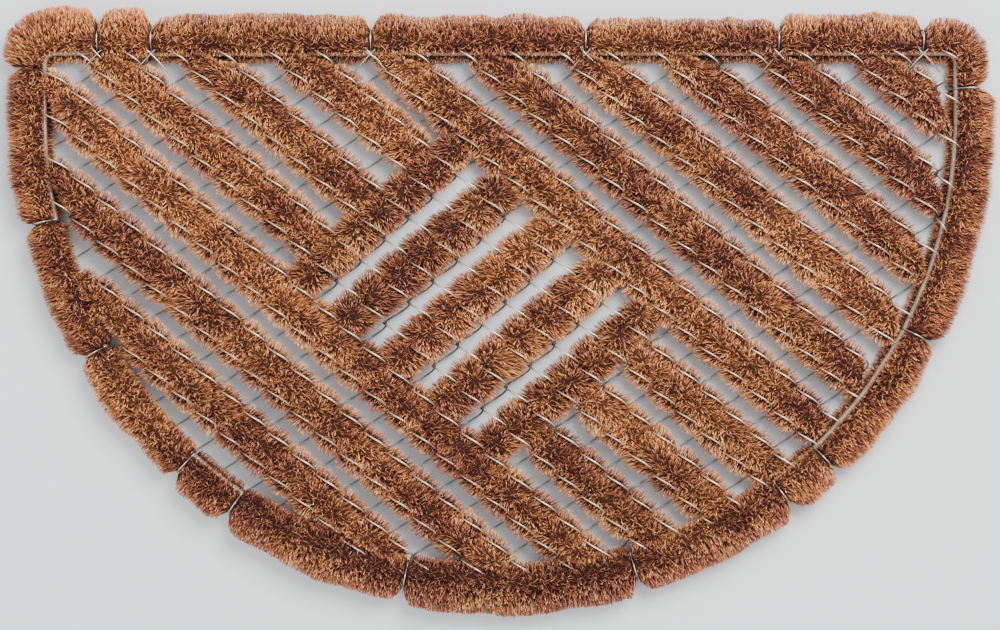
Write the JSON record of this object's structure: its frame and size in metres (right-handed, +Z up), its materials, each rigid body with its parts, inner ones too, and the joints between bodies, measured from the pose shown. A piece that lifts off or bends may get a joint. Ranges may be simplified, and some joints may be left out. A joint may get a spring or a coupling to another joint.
{
  "type": "half round doormat",
  "caption": "Half round outdoor brush mat: a steel rod frame, a net of coiled wires and coir brush rolls threaded through it, with a coir brush rim.",
  "frame": {"origin": "on the floor, under the middle of the mat's box", "axes": "+X along the straight back edge to the right, +Y towards the straight back edge, +Z up"},
  "size_m": [0.7506, 0.4618, 0.03],
  "materials": {
    "coir": "rough reddish brown bristle",
    "rim_coir": "rough tan brown bristle",
    "wire": "dull zinc coated wire",
    "rod": "bare steel with thin rust"
  },
  "bodies": {
    "root": {"frame_rod": "rod", "net_1": "wire", "net_2": "wire", "net_3": "wire", "net_4": "wire", "roll_down_1": "coir", "roll_down_2": "coir", "roll_down_3": "coir", "roll_down_4": "coir", "roll_down_5": "coir", "roll_down_6": "coir", "roll_down_7": "coir", "roll_down_8": "coir", "roll_down_9": "coir", "roll_down_10": "coir", "roll_down_11": "coir", "roll_down_12": "coir", "roll_down_13": "coir", "roll_down_14": "coir", "roll_down_15": "coir", "roll_up_1": "coir", "roll_up_2": "coir", "roll_up_3": "coir", "roll_up_4": "coir", "roll_up_5": "coir", "rim_1": "rim_coir", "rim_2": "rim_coir", "rim_3": "rim_coir", "rim_4": "rim_coir", "rim_5": "rim_coir", "rim_6": "rim_coir", "rim_7": "rim_coir", "rim_8": "rim_coir", "rim_9": "rim_coir", "rim_10": "rim_coir", "rim_11": "rim_coir", "rim_12": "rim_coir", "rim_13": "rim_coir", "rim_14": "rim_coir", "rim_15": "rim_coir", "rim_16": "rim_coir", "rim_17": "rim_coir", "tie_1": "wire", "tie_2": "wire", "tie_3": "wire", "tie_4": "wire", "tie_5": "wire", "tie_6": "wire", "tie_7": "wire", "tie_8": "wire", "tie_9": "wire", "tie_10": "wire", "tie_11": "wire", "tie_12": "wire", "tie_13": "wire", "tie_14": "wire", "tie_15": "wire", "tie_16": "wire"}
  },
  "joints": []
}
